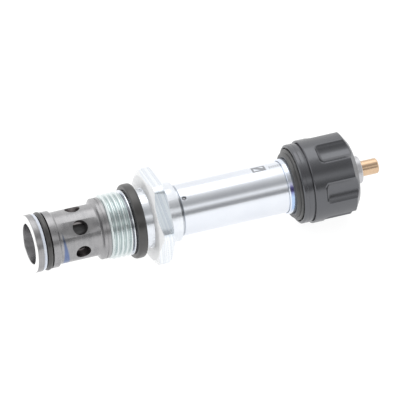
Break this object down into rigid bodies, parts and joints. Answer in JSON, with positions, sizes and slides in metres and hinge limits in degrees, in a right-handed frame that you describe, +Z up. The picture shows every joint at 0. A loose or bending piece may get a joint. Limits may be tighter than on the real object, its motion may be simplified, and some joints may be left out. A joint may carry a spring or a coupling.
{
  "type": "hydraulic cartridge valve",
  "caption": "Screw-in solenoid cartridge valve with ported nose cage, hexagon body, armature tube, fluted coil nut and a brass manual override pin.",
  "frame": {"origin": "centre of the hexagon's seating face, on the valve axis", "axes": "+X along the valve axis from the nose towards the coil nut, +Z up, normal to a flat of the hexagon"},
  "size_m": [0.1501, 0.04, 0.036],
  "materials": {
    "cage_steel": "dull phosphated turned steel",
    "plated_steel": "bright zinc plate over fine turning",
    "seal_rubber": "satin black nitrile",
    "white_polymer": "bluish white, slightly translucent",
    "ground_steel": "ground and lapped",
    "spring_steel": "oiled spring wire",
    "soft_iron": "turned and plated soft iron",
    "bronze": "turned bronze",
    "blue_passivated_steel": "zinc plate with a blue passivate",
    "bright_steel": "bright plated steel",
    "pin_brass": "turned brass",
    "black_plastic": "satin moulded glass-filled nylon"
  },
  "bodies": {
    "cartridge": {"cage": "cage_steel", "nose_backup_ring": "white_polymer", "nose_o_ring": "seal_rubber", "valve_body": "plated_steel", "body_o_ring": "seal_rubber", "spring_shim": "soft_iron", "spool_spring": "spring_steel", "pole_core": "soft_iron", "core_o_ring": "seal_rubber", "rod_bush": "bronze", "anti_stick_washer": "bronze", "rear_washer": "bronze", "armature_tube": "plated_steel", "stake_ball": "ground_steel", "tube_plug": "soft_iron", "plug_o_ring": "seal_rubber", "nut_rear_seal": "seal_rubber", "override_bushing": "bright_steel", "override_o_ring": "seal_rubber", "override_spring": "spring_steel"},
    "spool": {"spool": "ground_steel"},
    "armature": {"armature": "soft_iron", "push_rod": "ground_steel"},
    "override_pin": {"override_pin": "pin_brass"},
    "nut_thrust_ring": {"nut_front_ring": "black_plastic", "nut_front_seal": "seal_rubber"},
    "coil_nut": {"coil_nut": "black_plastic", "nut_insert": "blue_passivated_steel"}
  },
  "joints": [
    {"name": "override_press", "type": "slide", "parent": "cartridge", "child": "override_pin", "axis": [-1, 0, 0], "range_m": [0, 0.003], "stiffness_N_per_m": 500, "springref_m": -0.003, "deforming": ["override_spring"]},
    {"name": "armature_stroke", "type": "slide", "parent": "cartridge", "child": "armature", "axis": [-1, 0, 0], "range_m": [0, 0.003]},
    {"name": "spool_stroke", "type": "slide", "parent": "cartridge", "child": "spool", "axis": [-1, 0, 0], "range_m": [0, 0.003], "stiffness_N_per_m": 1500, "springref_m": -0.002, "deforming": ["spool_spring"]},
    {"name": "nut_advance", "type": "slide", "parent": "cartridge", "child": "nut_thrust_ring", "axis": [1, 0, 0], "range_m": [0, 0.00825]},
    {"name": "nut_turn", "type": "hinge", "parent": "nut_thrust_ring", "child": "coil_nut", "pos_m": [0.078, 0, 0], "axis": [1, 0, 0], "range_deg": [0, 1980]}
  ],
  "couplings": [
    {"joint": "armature_stroke", "follows": "override_press", "ratio": 1},
    {"joint": "spool_stroke", "follows": "override_press", "ratio": 1},
    {"joint": "nut_advance", "follows": "nut_turn", "m_per_rad": 0.00023873}
  ]
}
